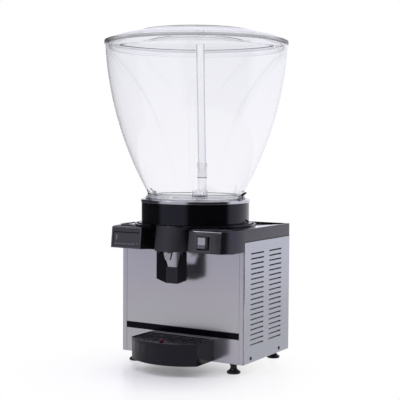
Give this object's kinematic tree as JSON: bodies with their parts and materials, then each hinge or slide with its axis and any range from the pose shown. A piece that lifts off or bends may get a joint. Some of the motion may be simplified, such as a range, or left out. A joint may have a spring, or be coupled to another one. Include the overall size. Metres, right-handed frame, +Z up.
{
  "type": "cold drink dispenser",
  "caption": "Counter-top cold drink dispenser: a clear lidded bowl with a spray tube on a cooled steel cabinet, with a push-lever tap over a drip tray.",
  "frame": {"origin": "on the counter under the bowl's axis, the middle of the bounding box's bottom", "axes": "+X to the right seen from the front, +Y to the back, +Z up along the bowl's axis"},
  "size_m": [0.379, 0.379, 0.6926],
  "materials": {
    "steel_panel": "satin brushed",
    "front_steel": "satin brushed",
    "zinc_steel": "zinc plated",
    "dark_screw": "blackened",
    "black_plastic": "semi-gloss moulded",
    "fascia_plastic": "gloss",
    "grid_plastic": "moulded",
    "foot_plastic": "moulded",
    "clear_plastic": "clear",
    "lamp_plastic": "translucent",
    "rocker_plastic": "translucent grey",
    "white_plastic": "moulded",
    "red_plastic": "gloss",
    "foam": "rigid foam",
    "black_rubber": "matt",
    "clear_rubber": "translucent",
    "chrome": "polished",
    "copper": "bare copper",
    "aluminium": "mill",
    "black_casting": "black enamel",
    "board": "lacquered"
  },
  "bodies": {
    "cabinet": {"base_pan": "zinc_steel", "left_side_panel": "steel_panel", "right_side_panel": "steel_panel", "front_panel": "front_steel", "rear_panel": "steel_panel", "front_trim_strip": "black_plastic", "panel_screws": "dark_screw", "top_cover": "black_plastic", "control_fascia": "fascia_plastic", "status_lamp": "lamp_plastic", "control_board": "board", "switch_bezel": "black_plastic", "drum": "black_plastic", "insulation": "foam", "evaporator_plate": "steel_panel", "evaporator_coil": "copper", "bowl_gasket": "black_rubber", "latch_brackets": "dark_screw", "latch_pins": "zinc_steel", "pump_housing": "clear_plastic", "tube_sleeve": "clear_rubber", "spray_tube": "clear_plastic", "motor_bracket": "zinc_steel", "drive_motor": "black_casting", "outlet_pipe": "zinc_steel", "tap_body": "white_plastic", "pinch_tube": "clear_rubber", "tap_nozzle": "chrome", "tap_cover": "black_plastic", "lever_pins": "zinc_steel", "lever_springs": "zinc_steel", "tap_screws": "dark_screw", "compressor": "black_casting", "compressor_mounts": "black_rubber", "condenser": "aluminium", "fan_shroud": "zinc_steel", "fan_motor": "black_casting", "filter_drier": "copper", "pipes": "copper", "cable_gland": "black_plastic"},
    "bowl": {"bowl": "clear_plastic"},
    "lid": {"lid": "clear_plastic"},
    "latch_left": {"latch_left": "black_plastic"},
    "latch_right": {"latch_right": "black_plastic"},
    "lever": {"lever": "black_plastic"},
    "rocker": {"rocker": "rocker_plastic"},
    "tray": {"drip_tray": "black_plastic"},
    "grid": {"drip_grid": "grid_plastic"},
    "float": {"tray_float": "red_plastic"},
    "drive": {"drive_magnet": "black_casting"},
    "impeller": {"impeller": "white_plastic"},
    "fan": {"fan": "black_plastic"},
    "foot_front_left": {"foot_front_left": "foot_plastic"},
    "foot_front_right": {"foot_front_right": "foot_plastic"},
    "foot_rear_left": {"foot_rear_left": "foot_plastic"},
    "foot_rear_right": {"foot_rear_right": "foot_plastic"}
  },
  "joints": [
    {"name": "bowl_lift", "type": "slide", "parent": "cabinet", "child": "bowl", "axis": [0, 0, 1], "range_m": [0, 0.335]},
    {"name": "lid_lift", "type": "slide", "parent": "bowl", "child": "lid", "axis": [0, 0, 1], "range_m": [0, 0.12]},
    {"name": "latch_left_swing", "type": "hinge", "parent": "cabinet", "child": "latch_left", "pos_m": [-0.108, 0, 0.3505], "axis": [0, -1, 0], "range_deg": [0, 60]},
    {"name": "latch_right_swing", "type": "hinge", "parent": "cabinet", "child": "latch_right", "pos_m": [0.108, 0, 0.3505], "axis": [0, 1, 0], "range_deg": [0, 60]},
    {"name": "lever_push", "type": "hinge", "parent": "cabinet", "child": "lever", "pos_m": [0, -0.093, 0.284], "axis": [1, 0, 0], "range_deg": [0, 14], "stiffness_Nm_per_rad": 0.6},
    {"name": "rocker_tilt", "type": "hinge", "parent": "cabinet", "child": "rocker", "pos_m": [0.0863, -0.11626, 0.265], "axis": [1, 0, 0], "range_deg": [0, 14]},
    {"name": "tray_pull", "type": "slide", "parent": "cabinet", "child": "tray", "axis": [0, -1, 0], "range_m": [0, 0.1]},
    {"name": "grid_lift", "type": "slide", "parent": "tray", "child": "grid", "axis": [0, 0, 1], "range_m": [0, 0.08]},
    {"name": "float_rise", "type": "slide", "parent": "tray", "child": "float", "axis": [0, 0, 1], "range_m": [0, 0.006]},
    {"name": "drive_spin", "type": "hinge", "parent": "cabinet", "child": "drive", "pos_m": [0, 0.018, 0.3], "axis": [0, 0, 1], "continuous": true},
    {"name": "impeller_spin", "type": "hinge", "parent": "cabinet", "child": "impeller", "pos_m": [0, 0.018, 0.348], "axis": [0, 0, 1], "continuous": true},
    {"name": "fan_spin", "type": "hinge", "parent": "cabinet", "child": "fan", "pos_m": [0.1, 0.048, 0.1135], "axis": [1, 0, 0], "continuous": true},
    {"name": "foot_front_left_turn", "type": "hinge", "parent": "cabinet", "child": "foot_front_left", "pos_m": [-0.118, -0.044, 0.02], "axis": [0, 0, 1], "continuous": true},
    {"name": "foot_front_right_turn", "type": "hinge", "parent": "cabinet", "child": "foot_front_right", "pos_m": [0.118, -0.044, 0.02], "axis": [0, 0, 1], "continuous": true},
    {"name": "foot_rear_left_turn", "type": "hinge", "parent": "cabinet", "child": "foot_rear_left", "pos_m": [-0.118, 0.133, 0.02], "axis": [0, 0, 1], "continuous": true},
    {"name": "foot_rear_right_turn", "type": "hinge", "parent": "cabinet", "child": "foot_rear_right", "pos_m": [0.118, 0.133, 0.02], "axis": [0, 0, 1], "continuous": true}
  ],
  "couplings": [
    {"joint": "impeller_spin", "follows": "drive_spin", "ratio": 1}
  ]
}
